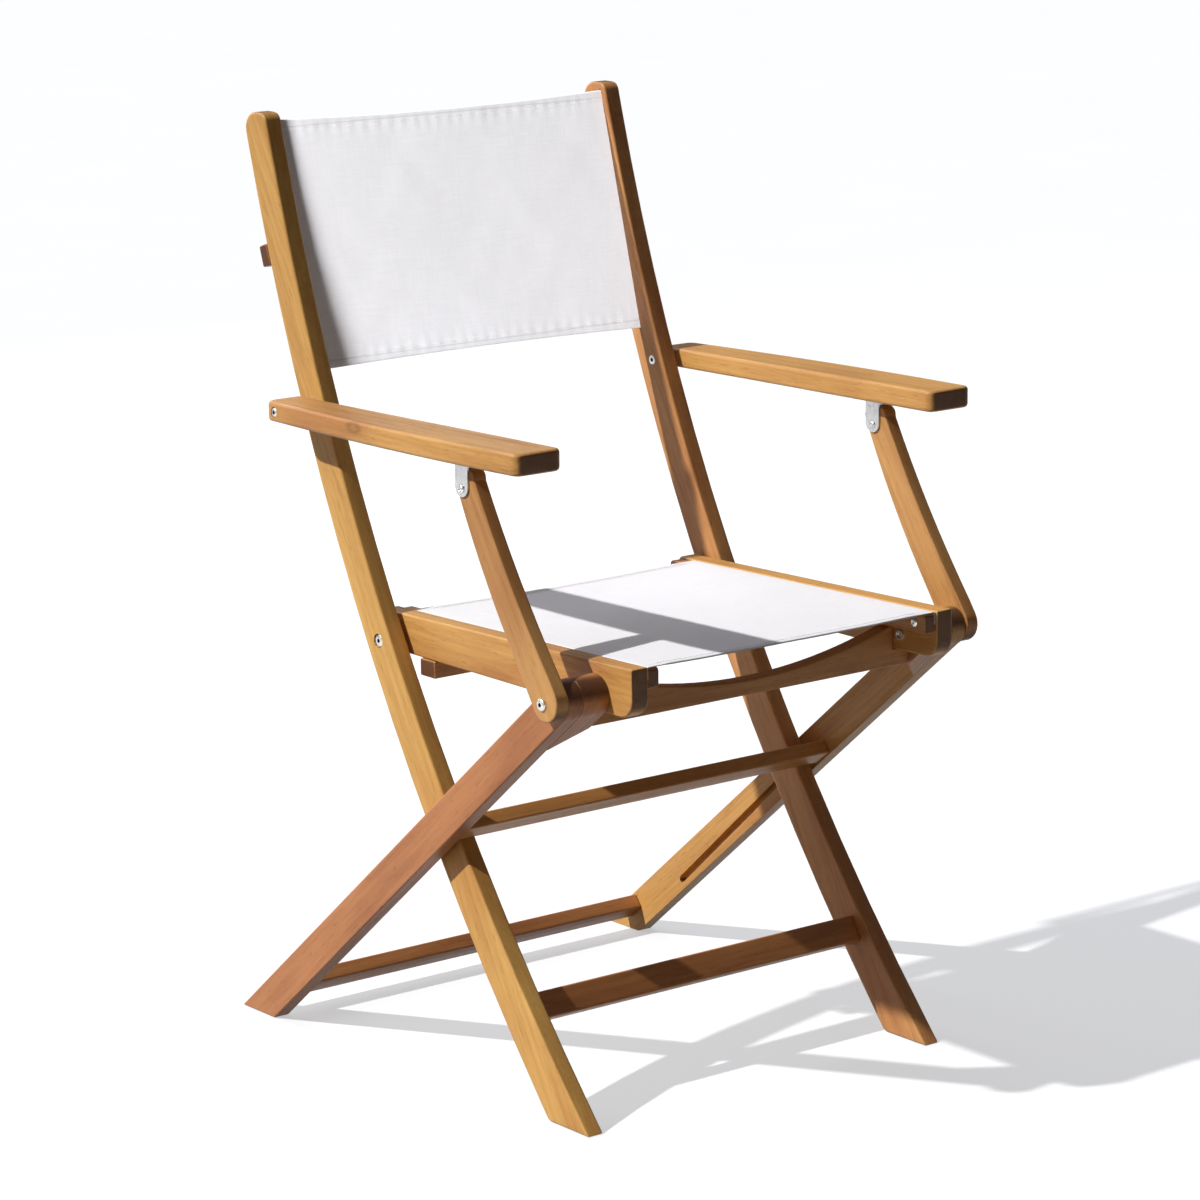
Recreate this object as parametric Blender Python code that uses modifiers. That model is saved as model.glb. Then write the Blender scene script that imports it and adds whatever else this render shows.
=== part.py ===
"""Folding armchair in oiled hardwood with stretched fabric seat and back.

Metres, +Z up, the chair faces -Y.  Origin: centre of the footprint, on the floor.
Side view points are (y, z) with y counted from the front toe of the posts.
Pieces ending in _l stand at -X, pieces ending in _r at +X.
"""
import math

import bmesh
import bpy
from mathutils import Matrix, Vector

# ----------------------------------------------------------------------------
# Named sizes (metres)
# ----------------------------------------------------------------------------
Y_SHIFT = 0.24760         # from the posts' toe to the middle of the footprint
GAP = 0.0003              # air between pieces that touch

# layers across the chair, distance from the middle plane
POST_IN, POST_OUT = 0.1986, 0.2173
LEG_IN, LEG_OUT = 0.2240, 0.2410
RAIL_IN, RAIL_OUT = 0.1747, 0.1939
BATTEN_IN, BATTEN_OUT = 0.1609, 0.1729
SUPPORT_IN, SUPPORT_OUT = 0.2413, 0.2556
ARM_IN, ARM_IN_FRONT = 0.2233, 0.2208

# pivots in side view
PIVOT_A = (0.4185, 0.6237)     # armrest on post
PIVOT_B = (0.3202, 0.4103)     # seat rail on post
PIVOT_C = (0.0124, 0.4126)     # seat rail, crossed leg and arm support
PIVOT_D = (0.2150, 0.2409)     # pin in the leg's slot
PIVOT_E = (0.1273, 0.5925)     # arm support in its bracket

# posts: edges y(z) as cubic polynomials
POST_FRONT = (0.0003, 0.91241, -0.49291, 0.09927)
POST_REAR = (0.06021, 0.85594, -0.44522, 0.08712)
POST_HEIGHT = 0.9000
POST_TOP_REAR_R, POST_TOP_FRONT_R, POST_HEEL_R = 0.0160, 0.0100, 0.0090
POST_STEPS = 16

# crossed legs: straight boards, sole at z = 0
LEG_DIR = (-0.7689, 0.6393)
LEG_SOLE_FRONT, LEG_SOLE_REAR = 0.4783, 0.5350
SLOT_LOW, SLOT_SLOPE, SLOT_TOP_Z = (0.4052, 0.0735), -1.136, 0.2465
SLOT_W, SLOT_DEPTH = 0.0074, 0.0080

# spacer blocks between leg and rail
SPACER_R = 0.0197
SPACER_END, SPACER_BLUNT = 0.0284, 0.0625

# seat
RAIL_TOP_Z, RAIL_SLOPE = 0.4442, -0.0253
RAIL_BOTTOM_Z, RAIL_FRONT_Y, RAIL_REAR_Y = 0.3973, -0.0389, 0.3476
RAIL_NOSE_R = 0.0175
BATTEN_FRONT_Y, BATTEN_REAR_Y = -0.0371, 0.3440
BATTEN_TOP_Z, BATTEN_BOTTOM_Z = 0.4423, 0.4238
CROSSRAIL_Y0, CROSSRAIL_Y1 = 0.0223, 0.0394
CROSSRAIL_Z0, CROSSRAIL_END_Z = 0.3800, 0.3968
CROSSRAIL_MID_H, CROSSRAIL_ARCH = 0.0145, 0.848
SEAT_CLOTH_T, SEAT_CLOTH_FRONT_Y, SEAT_CLOTH_REAR_Y = 0.0012, -0.0366, 0.3215
SEAT_CLOTH_TUCK = 0.0120
SCREW_Y = (-0.0223, 0.1450, 0.3120)

# back
BACK_CLOTH_T, BACK_CLOTH_INSET = 0.0012, 0.0050
BACK_TOP, BACK_LOW = (0.5010, 0.8921), (0.4380, 0.6544)
GROOVE_W, GROOVE_DEPTH = 0.0024, 0.0062

# hardware radii
SHAFT_R, BORE_R = 0.0030, 0.0033
HEAD_R, HEAD_T, HEAD_BORE_R = 0.0066, 0.0026, 0.0070
FRONT_HEAD_R = 0.0059
ARM_HEAD_R, ARM_HEAD_BORE_R = 0.0048, 0.0053
NUT_R, NUT_BORE_R = 0.0048, 0.0052
NUT_C_IN = 0.1720         # inner end of the front bolts' nuts
SOCKET_R, SOCKET_D = 0.0023, 0.0016

EDGE = 0.0018            # rounding of the boards' edges

WOOD = (0.56, 0.31, 0.12, 1.0)
WOOD_DARK = (0.46, 0.24, 0.09, 1.0)
FABRIC = (0.86, 0.85, 0.84, 1.0)
ZINC = (0.62, 0.63, 0.64, 1.0)

# ----------------------------------------------------------------------------
# Scene helpers
# ----------------------------------------------------------------------------
for old in list(bpy.data.objects):
    bpy.data.objects.remove(old, do_unlink=True)

scene = bpy.context.scene
chair = bpy.data.collections.new("directors_chair")
cutters = bpy.data.collections.new("cutters")
scene.collection.children.link(chair)
scene.collection.children.link(cutters)


def finish_material(obj, colour, roughness, metallic):
    mat = bpy.data.materials.new(obj.name)
    mat.use_nodes = True
    shader = mat.node_tree.nodes["Principled BSDF"]
    shader.inputs["Base Color"].default_value = colour
    shader.inputs["Roughness"].default_value = roughness
    shader.inputs["Metallic"].default_value = metallic
    mat.diffuse_color = colour
    obj.data.materials.append(mat)


def wood(obj, dark=False):
    finish_material(obj, WOOD_DARK if dark else WOOD, 0.55, 0.0)


def steel(obj):
    finish_material(obj, ZINC, 0.35, 1.0)


def cloth(obj):
    finish_material(obj, FABRIC, 0.9, 0.0)


def pivot_empty(name, pivot):
    empty = bpy.data.objects.new(name, None)
    empty.empty_display_size = 0.03
    empty.location = (0.0, pivot[0] - Y_SHIFT, pivot[1])
    chair.objects.link(empty)
    return empty


def hang(obj, parent):
    obj.parent = parent
    obj.location = obj.location - parent.location


def fillet(points, radii, steps=5):
    """Round the corners of a closed polygon; one radius per corner."""
    out = []
    n = len(points)
    for i in range(n):
        p = Vector(points[i])
        r = radii[i]
        if r <= 0.0:
            out.append(tuple(p))
            continue
        a = (Vector(points[i - 1]) - p).normalized()
        b = (Vector(points[(i + 1) % n]) - p).normalized()
        half = math.acos(max(-1.0, min(1.0, a.dot(b)))) / 2.0
        cut = r / math.tan(half)
        centre = p + (a + b).normalized() * (r / math.sin(half))
        start, end = p + a * cut - centre, p + b * cut - centre
        sweep = math.atan2(start.x * end.y - start.y * end.x, start.dot(end))
        for k in range(steps + 1):
            t = sweep * k / steps
            c, s = math.cos(t), math.sin(t)
            out.append((centre.x + start.x * c - start.y * s,
                        centre.y + start.x * s + start.y * c))
    return out


def arc(centre, radius, start, sweep, steps):
    return [(centre[0] + radius * math.cos(start + sweep * k / steps),
             centre[1] + radius * math.sin(start + sweep * k / steps))
            for k in range(steps + 1)]


def board(name, outlines, half, origin, turn, collection=chair):
    """Closed flat outline(s) filled and extruded by half each way."""
    curve = bpy.data.curves.new(name + "_outline", 'CURVE')
    curve.dimensions = '2D'
    curve.fill_mode = 'BOTH'
    curve.extrude = half
    for points in outlines:
        spline = curve.splines.new('POLY')
        spline.points.add(len(points) - 1)
        for target, (u, v) in zip(spline.points, points):
            target.co = (u, v, 0.0, 1.0)
        spline.use_cyclic_u = True
    holder = bpy.data.objects.new(name + "_outline", curve)
    scene.collection.objects.link(holder)
    mesh = bpy.data.meshes.new_from_object(holder)
    bpy.data.objects.remove(holder, do_unlink=True)
    bpy.data.curves.remove(curve)
    bm = bmesh.new()
    bm.from_mesh(mesh)
    bmesh.ops.remove_doubles(bm, verts=bm.verts, dist=1e-6)
    bm.normal_update()
    if len(outlines) == 1:
        inner = [e for e in bm.edges if len(e.link_faces) == 2
                 and all(abs(f.normal.z) > 0.999 for f in e.link_faces)]
        bmesh.ops.dissolve_edges(bm, edges=inner, use_verts=False)
    bmesh.ops.recalc_face_normals(bm, faces=bm.faces)
    bm.to_mesh(mesh)
    bm.free()
    mesh.name = name
    obj = bpy.data.objects.new(name, mesh)
    obj.location = origin
    obj.rotation_euler = turn
    collection.objects.link(obj)
    return obj


SIDE_TURN = (math.pi / 2, 0.0, math.pi / 2)      # local x, y, z -> Y, Z, X
FRONT_TURN = (math.pi / 2, 0.0, 0.0)             # local x, y, z -> X, Z, -Y


def side_board(name, outlines, x_mid, half, pivot, collection=chair):
    """Outline given in side view, thickness along X, origin on the pivot."""
    local = [[(y - pivot[0], z - pivot[1]) for y, z in o] for o in outlines]
    origin = (x_mid, pivot[0] - Y_SHIFT, pivot[1])
    return board(name, local, half, origin, SIDE_TURN, collection)


def edge_round(obj, width=EDGE, segments=2, degrees=38.0):
    mod = obj.modifiers.new("edge_round", 'BEVEL')
    mod.width = width
    mod.segments = segments
    mod.limit_method = 'ANGLE'
    mod.angle_limit = math.radians(degrees)
    mod.miter_outer = 'MITER_SHARP'
    return mod


def edge_round_outer(obj, side, width, inner_share, degrees=38.0):
    """Round a side board's edges, those of its inner face only by inner_share of the width."""
    bm = bmesh.new()
    bm.from_mesh(obj.data)
    weight = bm.edges.layers.float.new("bevel_weight_edge")
    for e in bm.edges:
        if len(e.link_faces) == 2 and e.calc_face_angle() > math.radians(degrees):
            inner = all(v.co.z * side < 0.0 for v in e.verts)
            e[weight] = inner_share if inner else 1.0
    bm.to_mesh(obj.data)
    bm.free()
    edge_round(obj, width).limit_method = 'WEIGHT'


def hide_cutter(obj):
    obj.hide_render = True
    obj.display_type = 'WIRE'


def cut(obj, cutter, operation='DIFFERENCE'):
    mod = obj.modifiers.new("cut_" + cutter.name, 'BOOLEAN')
    mod.operation = operation
    mod.solver = 'EXACT'
    mod.object = cutter
    hide_cutter(cutter)


def rod_cutter(name, radius, x0, x1, pivot, segments=20, more=()):
    """Cylinder along X between x0 and x1 at a side view point, and at more points."""
    mesh = bpy.data.meshes.new(name)
    bm = bmesh.new()
    for y, z in (pivot,) + tuple(more):
        bmesh.ops.create_cone(bm, cap_ends=True, segments=segments, radius1=radius,
                              radius2=radius, depth=abs(x1 - x0),
                              matrix=Matrix.Translation((pivot[1] - z, y - pivot[0], 0.0)))
    bm.to_mesh(mesh)
    bm.free()
    obj = bpy.data.objects.new(name, mesh)
    obj.location = ((x0 + x1) / 2, pivot[0] - Y_SHIFT, pivot[1])
    obj.rotation_euler = (0.0, math.pi / 2, 0.0)
    cutters.objects.link(obj)
    hide_cutter(obj)
    return obj


def shade_round(mesh, degrees=35.0):
    mesh.polygons.foreach_set("use_smooth", [True] * len(mesh.polygons))
    mesh.set_sharp_from_angle(angle=math.radians(degrees))


def turned(name, profile, base, turn, steps=18, closed=False):
    """Solid of revolution; profile is (radius, height) from top to bottom."""
    mesh = bpy.data.meshes.new(name)
    verts = [(r, 0.0, h) for r, h in profile]
    edges = [(i, i + 1) for i in range(len(verts) - 1)]
    if closed:
        edges.append((len(verts) - 1, 0))
    mesh.from_pydata(verts, edges, [])
    obj = bpy.data.objects.new(name, mesh)
    obj.location = base
    obj.rotation_euler = turn
    chair.objects.link(obj)
    mod = obj.modifiers.new("turning", 'SCREW')
    mod.axis = 'Z'
    mod.angle = 2 * math.pi
    mod.steps = steps
    mod.render_steps = steps
    mod.screw_offset = 0.0
    mod.use_merge_vertices = True
    mod.merge_threshold = 0.00002
    mod.use_smooth_shade = True
    return obj


def across(side):
    """Turn that sends local +Z to the outside of the chair on this side."""
    return (0.0, side * math.pi / 2, 0.0)


def at(side, x, pivot):
    return (side * x, pivot[0] - Y_SHIFT, pivot[1])


def headed_bolt(name, side, x_face, x_tip, pivot, head_r=HEAD_R):
    """Button head resting on x_face, shaft running inwards to x_tip."""
    length = x_face - x_tip
    top = HEAD_T
    profile = [(0.0, top), (head_r * 0.62, top), (head_r * 0.90, top * 0.72),
               (head_r, top * 0.35), (head_r, 0.0), (SHAFT_R, 0.0),
               (SHAFT_R, -length + 0.0005), (SHAFT_R - 0.0005, -length), (0.0, -length)]
    obj = turned(name, profile, at(side, x_face, pivot), across(side))
    hexagon = rod_cutter(name + "_socket", SOCKET_R,
                         side * (x_face + HEAD_T - SOCKET_D),
                         side * (x_face + HEAD_T + 0.002), pivot, 6)
    cut(obj, hexagon)
    steel(obj)
    return obj


def sleeve_nut(name, side, x_out, x_in, pivot):
    """Nut on the inner end of a bolt, open towards the bolt, from x_out inwards."""
    length = x_out - x_in
    profile = [(BORE_R, 0.0), (NUT_R, 0.0), (NUT_R, -length + 0.0004), (NUT_R - 0.0004, -length)]
    profile += [(0.0021, -length), (0.0021, -length + 0.0009), (BORE_R, -length + 0.0016)]
    obj = turned(name, profile, at(side, x_out, pivot), across(side), closed=True)
    steel(obj)
    return obj


def ring(name, side, x0, x1, pivot, r_in, r_out, steps=20):
    circle_out = arc((0.0, 0.0), r_out, 0.0, 2 * math.pi * (1 - 1 / steps), steps - 1)
    circle_in = arc((0.0, 0.0), r_in, 0.0, 2 * math.pi * (1 - 1 / steps), steps - 1)
    half = (x1 - x0) / 2
    obj = board(name, [circle_out, circle_in], half, at(side, x0 + half, pivot), SIDE_TURN)
    shade_round(obj.data)
    steel(obj)
    return obj


def poly(coefficients, t):
    return sum(c * t ** i for i, c in enumerate(coefficients))


# ----------------------------------------------------------------------------
# Parent empties on the pivots
# ----------------------------------------------------------------------------
seat_pivot = pivot_empty("seat_pivot", PIVOT_B)
frame_pivot = pivot_empty("crossed_frame_pivot", PIVOT_C)
support_pivot = pivot_empty("arm_support_pivot", PIVOT_E)
arm_pivot = pivot_empty("armrest_pivot", PIVOT_A)

SIDES = (("l", -1.0), ("r", 1.0))
POST_MID, POST_HALF = (POST_IN + POST_OUT) / 2, (POST_OUT - POST_IN) / 2
LEG_MID, LEG_HALF = (LEG_IN + LEG_OUT) / 2, (LEG_OUT - LEG_IN) / 2
RAIL_MID, RAIL_HALF = (RAIL_IN + RAIL_OUT) / 2, (RAIL_OUT - RAIL_IN) / 2

# ----------------------------------------------------------------------------
# Posts
# ----------------------------------------------------------------------------
def post_outline():
    low, high = 0.012, POST_HEIGHT - 0.024
    levels = [low + (high - low) * k / POST_STEPS for k in range(POST_STEPS + 1)]
    corners = [(poly(POST_FRONT, 0.0), 0.0), (poly(POST_REAR, 0.0), 0.0)]
    radii = [0.0, POST_HEEL_R]
    corners += [(poly(POST_REAR, z), z) for z in levels]
    radii += [0.0] * len(levels)
    corners += [(poly(POST_REAR, POST_HEIGHT), POST_HEIGHT),
                (poly(POST_FRONT, POST_HEIGHT), POST_HEIGHT)]
    radii += [POST_TOP_REAR_R, POST_TOP_FRONT_R]
    corners += [(poly(POST_FRONT, z), z) for z in reversed(levels)]
    radii += [0.0] * len(levels)
    return fillet(corners, radii)


def groove_outline():
    """Narrow slot for the back cloth's edge, in side view."""
    low, high = Vector(BACK_LOW), Vector(BACK_TOP)
    along = (high - low).normalized()
    out = Vector((along.y, -along.x))
    a, b = low - along * 0.0012, high + along * 0.0012
    h = GROOVE_W / 2
    return [tuple(a - out * h), tuple(a + out * h), tuple(b + out * h), tuple(b - out * h)]


for tag, side in SIDES:
    post = side_board("post_" + tag, [post_outline()], side * POST_MID, POST_HALF, (0.0, 0.0))
    edge_round(post, 0.0023)
    cut(post, rod_cutter("post_bore_a_" + tag, BORE_R, side * 0.190, side * 0.225, PIVOT_A))
    cut(post, rod_cutter("post_nut_a_" + tag, NUT_BORE_R, side * 0.190,
                         side * (POST_IN + 0.0034), PIVOT_A))
    cut(post, rod_cutter("post_bore_b_" + tag, BORE_R, side * 0.190, side * 0.225, PIVOT_B))
    cut(post, rod_cutter("post_head_b_" + tag, HEAD_BORE_R, side * (POST_OUT - 0.0034),
                         side * 0.225, PIVOT_B))
    cut(post, rod_cutter("post_pin_d_" + tag, BORE_R, side * (POST_OUT - 0.0105),
                         side * 0.225, PIVOT_D))
    groove = side_board("post_groove_" + tag, [groove_outline()],
                        side * (POST_IN + GROOVE_DEPTH / 2 - 0.002), GROOVE_DEPTH / 2 + 0.002,
                        BACK_LOW, cutters)
    cut(post, groove)
    wood(post)

# ----------------------------------------------------------------------------
# Rails of the post frame
# ----------------------------------------------------------------------------
def bar_section(corner, along, length, depth):
    """Rectangle from its lower front corner; along is the face's direction."""
    a = Vector(along).normalized()
    d = Vector((a.y, -a.x))
    c = Vector(corner)
    return [tuple(c), tuple(c + d * depth), tuple(c + d * depth + a * length),
            tuple(c + a * length)]


def section_bar(name, corners, half_length, pivot):
    centre = (sum(c[0] for c in corners) / 4, sum(c[1] for c in corners) / 4)
    obj = side_board(name, [corners], 0.0, half_length, pivot or centre)
    edge_round(obj)
    wood(obj, dark=True)
    return obj


section_bar("front_stretcher", bar_section((0.0949, 0.0856), (0.0134, 0.0226), 0.0263, 0.0170),
            POST_IN - GAP, None)
section_bar("back_crossbar", bar_section((0.4903 + 0.0004, 0.7534), (0.3121, 0.9500), 0.0213, 0.0126),
            POST_OUT, None)

# ----------------------------------------------------------------------------
# Back cloth between the posts
# ----------------------------------------------------------------------------
low, high = Vector(BACK_LOW), Vector(BACK_TOP)
slope = high - low
back_cloth = board(
    "back_sling",
    [[(-(POST_IN + BACK_CLOTH_INSET), -slope.length / 2), (POST_IN + BACK_CLOTH_INSET, -slope.length / 2),
      (POST_IN + BACK_CLOTH_INSET, slope.length / 2), (-(POST_IN + BACK_CLOTH_INSET), slope.length / 2)]],
    BACK_CLOTH_T / 2,
    (0.0, (low.x + high.x) / 2 - Y_SHIFT, (low.y + high.y) / 2),
    (math.atan2(slope.y, slope.x), 0.0, 0.0))
cloth(back_cloth)

# ----------------------------------------------------------------------------
# Seat: rails, battens, crossrails, cloth
# ----------------------------------------------------------------------------
def rail_top(y):
    return RAIL_TOP_Z + RAIL_SLOPE * (y - RAIL_FRONT_Y)


for tag, side in SIDES:
    outline = fillet([(RAIL_FRONT_Y, RAIL_BOTTOM_Z), (RAIL_REAR_Y, RAIL_BOTTOM_Z),
                      (RAIL_REAR_Y, rail_top(RAIL_REAR_Y)), (RAIL_FRONT_Y, rail_top(RAIL_FRONT_Y))],
                     [RAIL_NOSE_R, 0.006, 0.004, 0.0])
    rail = side_board("seat_rail_" + tag, [outline], side * RAIL_MID, RAIL_HALF, PIVOT_B)
    edge_round(rail)
    cut(rail, rod_cutter("rail_bore_b_" + tag, BORE_R, side * 0.165, side * 0.200, PIVOT_B))
    cut(rail, rod_cutter("rail_nut_b_" + tag, NUT_BORE_R, side * 0.165,
                         side * (RAIL_IN + 0.0040), PIVOT_B))
    cut(rail, rod_cutter("rail_bore_c_" + tag, BORE_R, side * 0.165, side * 0.200, PIVOT_C))
    wood(rail)
    hang(rail, seat_pivot)

    def batten_line(y, z):
        return z + RAIL_SLOPE * (y - BATTEN_FRONT_Y)

    outline = fillet([(BATTEN_FRONT_Y, BATTEN_BOTTOM_Z),
                      (BATTEN_REAR_Y, batten_line(BATTEN_REAR_Y, BATTEN_BOTTOM_Z)),
                      (BATTEN_REAR_Y, batten_line(BATTEN_REAR_Y, BATTEN_TOP_Z)),
                      (BATTEN_FRONT_Y, BATTEN_TOP_Z)],
                     [0.0, 0.0, 0.003, 0.004], 3)
    batten = side_board("seat_batten_" + tag, [outline], side * (BATTEN_IN + BATTEN_OUT) / 2,
                        (BATTEN_OUT - BATTEN_IN) / 2, PIVOT_B)
    edge_round(batten, 0.0012)
    wood(batten, dark=True)
    points = [(y, batten_line(y, (BATTEN_BOTTOM_Z + BATTEN_TOP_Z) / 2)) for y in SCREW_Y]
    cut(batten, rod_cutter("batten_bores_" + tag, 0.0020, side * 0.150,
                           side * (BATTEN_OUT - 0.0015), points[0], 12, points[1:]))
    for k, point in enumerate(points):
        screw = turned("batten_screw_%s_%d" % (tag, k + 1),
                       [(0.0, 0.0098), (0.0012, 0.0098), (0.0017, 0.0088), (0.0017, -0.0003),
                        (0.0042, -0.0003), (0.0042, -0.0008), (0.0030, -0.0020), (0.0015, -0.0020),
                        (0.0013, -0.0010), (0.0, -0.0010)],
                       at(side, BATTEN_IN, point), across(side), 10)
        steel(screw)
        hang(screw, seat_pivot)
    hang(batten, seat_pivot)

# front crossrail, hollowed along its top
def arch(x):
    return CROSSRAIL_MID_H + CROSSRAIL_ARCH * x * x


step_x = RAIL_IN - 0.0006
tops = [(step_x * (1 - k / 12), CROSSRAIL_Z0 + arch(step_x * (1 - k / 12))) for k in range(25)]
crossrail_outline = [(-RAIL_OUT, CROSSRAIL_Z0), (RAIL_OUT, CROSSRAIL_Z0), (RAIL_OUT, CROSSRAIL_END_Z),
                     (step_x, CROSSRAIL_END_Z)] + tops + [(-step_x, CROSSRAIL_END_Z),
                                                          (-RAIL_OUT, CROSSRAIL_END_Z)]
mid_y = (CROSSRAIL_Y0 + CROSSRAIL_Y1) / 2
crossrail = board("seat_crossrail_front", [[(x, z - PIVOT_B[1]) for x, z in crossrail_outline]],
                  (CROSSRAIL_Y1 - CROSSRAIL_Y0) / 2, (0.0, mid_y - Y_SHIFT, PIVOT_B[1]), FRONT_TURN)
edge_round(crossrail, 0.0014)
wood(crossrail, dark=True)
hang(crossrail, seat_pivot)

crossbar = side_board("seat_crossrail_rear",
                      [[(0.2614, 0.3797), (0.2849, 0.3797), (0.2849, 0.3968), (0.2614, 0.3968)]],
                      0.0, RAIL_OUT, PIVOT_B)
edge_round(crossbar)
wood(crossbar, dark=True)
hang(crossbar, seat_pivot)

# seat cloth: a flat panel with its two edges turned down between rail and batten
half_w, inner_w, t = 0.1744, 0.1732, SEAT_CLOTH_T
u_outline = fillet([(-half_w, -SEAT_CLOTH_TUCK), (-inner_w, -SEAT_CLOTH_TUCK), (-inner_w, 0.0),
                    (inner_w, 0.0), (inner_w, -SEAT_CLOTH_TUCK), (half_w, -SEAT_CLOTH_TUCK),
                    (half_w, t), (-half_w, t)],
                   [0.0, 0.0, 0.0, 0.0, 0.0, 0.0, 0.0009, 0.0009], 2)
cloth_tilt = math.atan(RAIL_SLOPE)
cloth_mid = (SEAT_CLOTH_FRONT_Y + SEAT_CLOTH_REAR_Y) / 2
cloth_z = BATTEN_TOP_Z + GAP + RAIL_SLOPE * (cloth_mid - BATTEN_FRONT_Y)
seat_cloth = board("seat_sling", [u_outline],
                   (SEAT_CLOTH_REAR_Y - SEAT_CLOTH_FRONT_Y) / 2 / math.cos(cloth_tilt),
                   (0.0, cloth_mid - Y_SHIFT, cloth_z), (math.pi / 2 + cloth_tilt, 0.0, 0.0))
cloth(seat_cloth)
hang(seat_cloth, seat_pivot)

# ----------------------------------------------------------------------------
# Crossed legs with spacer blocks and stretchers
# ----------------------------------------------------------------------------
leg_dir = Vector(LEG_DIR).normalized()
leg_up = Vector((leg_dir.y, -leg_dir.x))           # towards the rear upper edge
leg_half = (LEG_SOLE_REAR - LEG_SOLE_FRONT) * leg_dir.y / 2
mid_sole = Vector(((LEG_SOLE_FRONT + LEG_SOLE_REAR) / 2, 0.0))
leg_end = mid_sole + leg_dir * (Vector(PIVOT_C) - mid_sole).dot(leg_dir)
up_angle = math.atan2(leg_up.y, leg_up.x)


low_edge = (Vector(PIVOT_C) - leg_end).dot(leg_up) + leg_half       # pivot to the leg's front edge
up_edge = leg_half - (Vector(PIVOT_C) - leg_end).dot(leg_up)


def round_end(steps=18):
    """Arc about the pivot from the upper edge round to the front edge, for leg and spacer."""
    start = math.acos(up_edge / SPACER_R)
    stop = math.pi + math.acos(low_edge / SPACER_R)
    return arc(PIVOT_C, SPACER_R, up_angle + start, stop - start, steps)


def leg_outline():
    return [(LEG_SOLE_FRONT, 0.0), (LEG_SOLE_REAR, 0.0)] + round_end()


def slot_outline():
    top = (SLOT_LOW[0] + SLOT_SLOPE * (SLOT_TOP_Z - SLOT_LOW[1]), SLOT_TOP_Z)
    line = (Vector(top) - Vector(SLOT_LOW)).normalized()
    angle = math.atan2(line.y, line.x)
    r = SLOT_W / 2
    return (arc(top, r, angle - math.pi / 2, math.pi, 8)
            + arc(SLOT_LOW, r, angle + math.pi / 2, math.pi, 8))


def spacer_outline():
    c = Vector(PIVOT_C)
    down = -leg_dir
    a = c + down * SPACER_BLUNT - leg_up * low_edge
    b = c + down * SPACER_BLUNT + leg_up * up_edge
    return [tuple(a), tuple(b)] + round_end()


for tag, side in SIDES:
    leg = side_board("crossed_leg_" + tag, [leg_outline()], side * LEG_MID, LEG_HALF, PIVOT_C)
    edge_round_outer(leg, side, EDGE, 0.25)
    cut(leg, rod_cutter("leg_bore_c_" + tag, BORE_R, side * 0.215, side * 0.250, PIVOT_C))
    slot = side_board("leg_slot_" + tag, [slot_outline()],
                      side * (LEG_IN + SLOT_DEPTH / 2 - 0.002), SLOT_DEPTH / 2 + 0.002,
                      PIVOT_C, cutters)
    cut(leg, slot)
    wood(leg)
    hang(leg, frame_pivot)

    x_in, x_out = RAIL_OUT + GAP, LEG_IN - GAP
    spacer = side_board("spacer_block_" + tag, [spacer_outline()], side * (x_in + x_out) / 2,
                        (x_out - x_in) / 2, PIVOT_C)
    edge_round(spacer, 0.0004, 1)
    run = (SPACER_BLUNT - SPACER_END) / (x_out - x_in)
    far = 0.12
    wedge_points = [(SPACER_END - 0.01 * run, x_in - 0.01), (SPACER_BLUNT + 0.01 * run, x_out + 0.01),
                    (far, x_out + 0.01), (far, x_in - 0.01)]
    wedge = board("spacer_wedge_" + tag, [[(s, side * x) for s, x in wedge_points]], 0.04,
                  (0.0, PIVOT_C[0] - Y_SHIFT, PIVOT_C[1]), (0.0, 0.0, 0.0), cutters)
    down = -leg_dir
    basis = Matrix(((0.0, 1.0, 0.0), (down.x, 0.0, down.y), (down.y, 0.0, -down.x)))
    wedge.rotation_euler = basis.to_euler()
    cut(spacer, wedge)
    cut(spacer, rod_cutter("spacer_bore_c_" + tag, BORE_R, side * 0.185, side * 0.232, PIVOT_C))
    wood(spacer)
    hang(spacer, frame_pivot)

hang(section_bar("crossed_stretcher_mid",
                 [(0.1908, 0.2417), (0.2003, 0.2530), (0.1805, 0.2684), (0.1710, 0.2571)],
                 LEG_IN - GAP, PIVOT_C), frame_pivot)
hang(section_bar("crossed_stretcher_rear",
                 [(0.4921, 0.0123), (0.5019, 0.0241), (0.4826, 0.0402), (0.4727, 0.0284)],
                 LEG_IN - GAP, PIVOT_C), frame_pivot)

# ----------------------------------------------------------------------------
# Arm supports: gently bowed boards
# ----------------------------------------------------------------------------
SUPPORT_FRONT = (0.04877, 0.68154, -0.75371, 0.1324)       # y over (z - 0.5)
SUPPORT_REAR = (0.08822, 0.61371, -0.83022)
SUPPORT_EYE, SUPPORT_EYE_R = (0.0095, 0.4145), 0.0184
SUPPORT_FRONT_FLAT_Z, SUPPORT_TOP_Z = 0.6010, 0.6122


def support_outline():
    rear_z = [0.434 + (0.586 - 0.434) * k / 7 for k in range(8)]
    front_z = [SUPPORT_FRONT_FLAT_Z - (SUPPORT_FRONT_FLAT_Z - 0.436) * k / 8 for k in range(9)]
    corners = [(poly(SUPPORT_REAR, z - 0.5), z) for z in rear_z]
    radii = [0.0] * len(corners)
    corners += [(poly(SUPPORT_REAR, 0.6085 - 0.5), 0.6085),
                (poly(SUPPORT_FRONT, SUPPORT_FRONT_FLAT_Z - 0.5), SUPPORT_TOP_Z)]
    radii += [0.0090, 0.0085]
    corners += [(poly(SUPPORT_FRONT, z - 0.5), z) for z in front_z]
    radii += [0.0] * len(front_z)
    start = math.atan2(0.5976, -0.8018)
    return fillet(corners, radii) + arc(SUPPORT_EYE, SUPPORT_EYE_R, start, math.pi + math.radians(2), 14)


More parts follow.
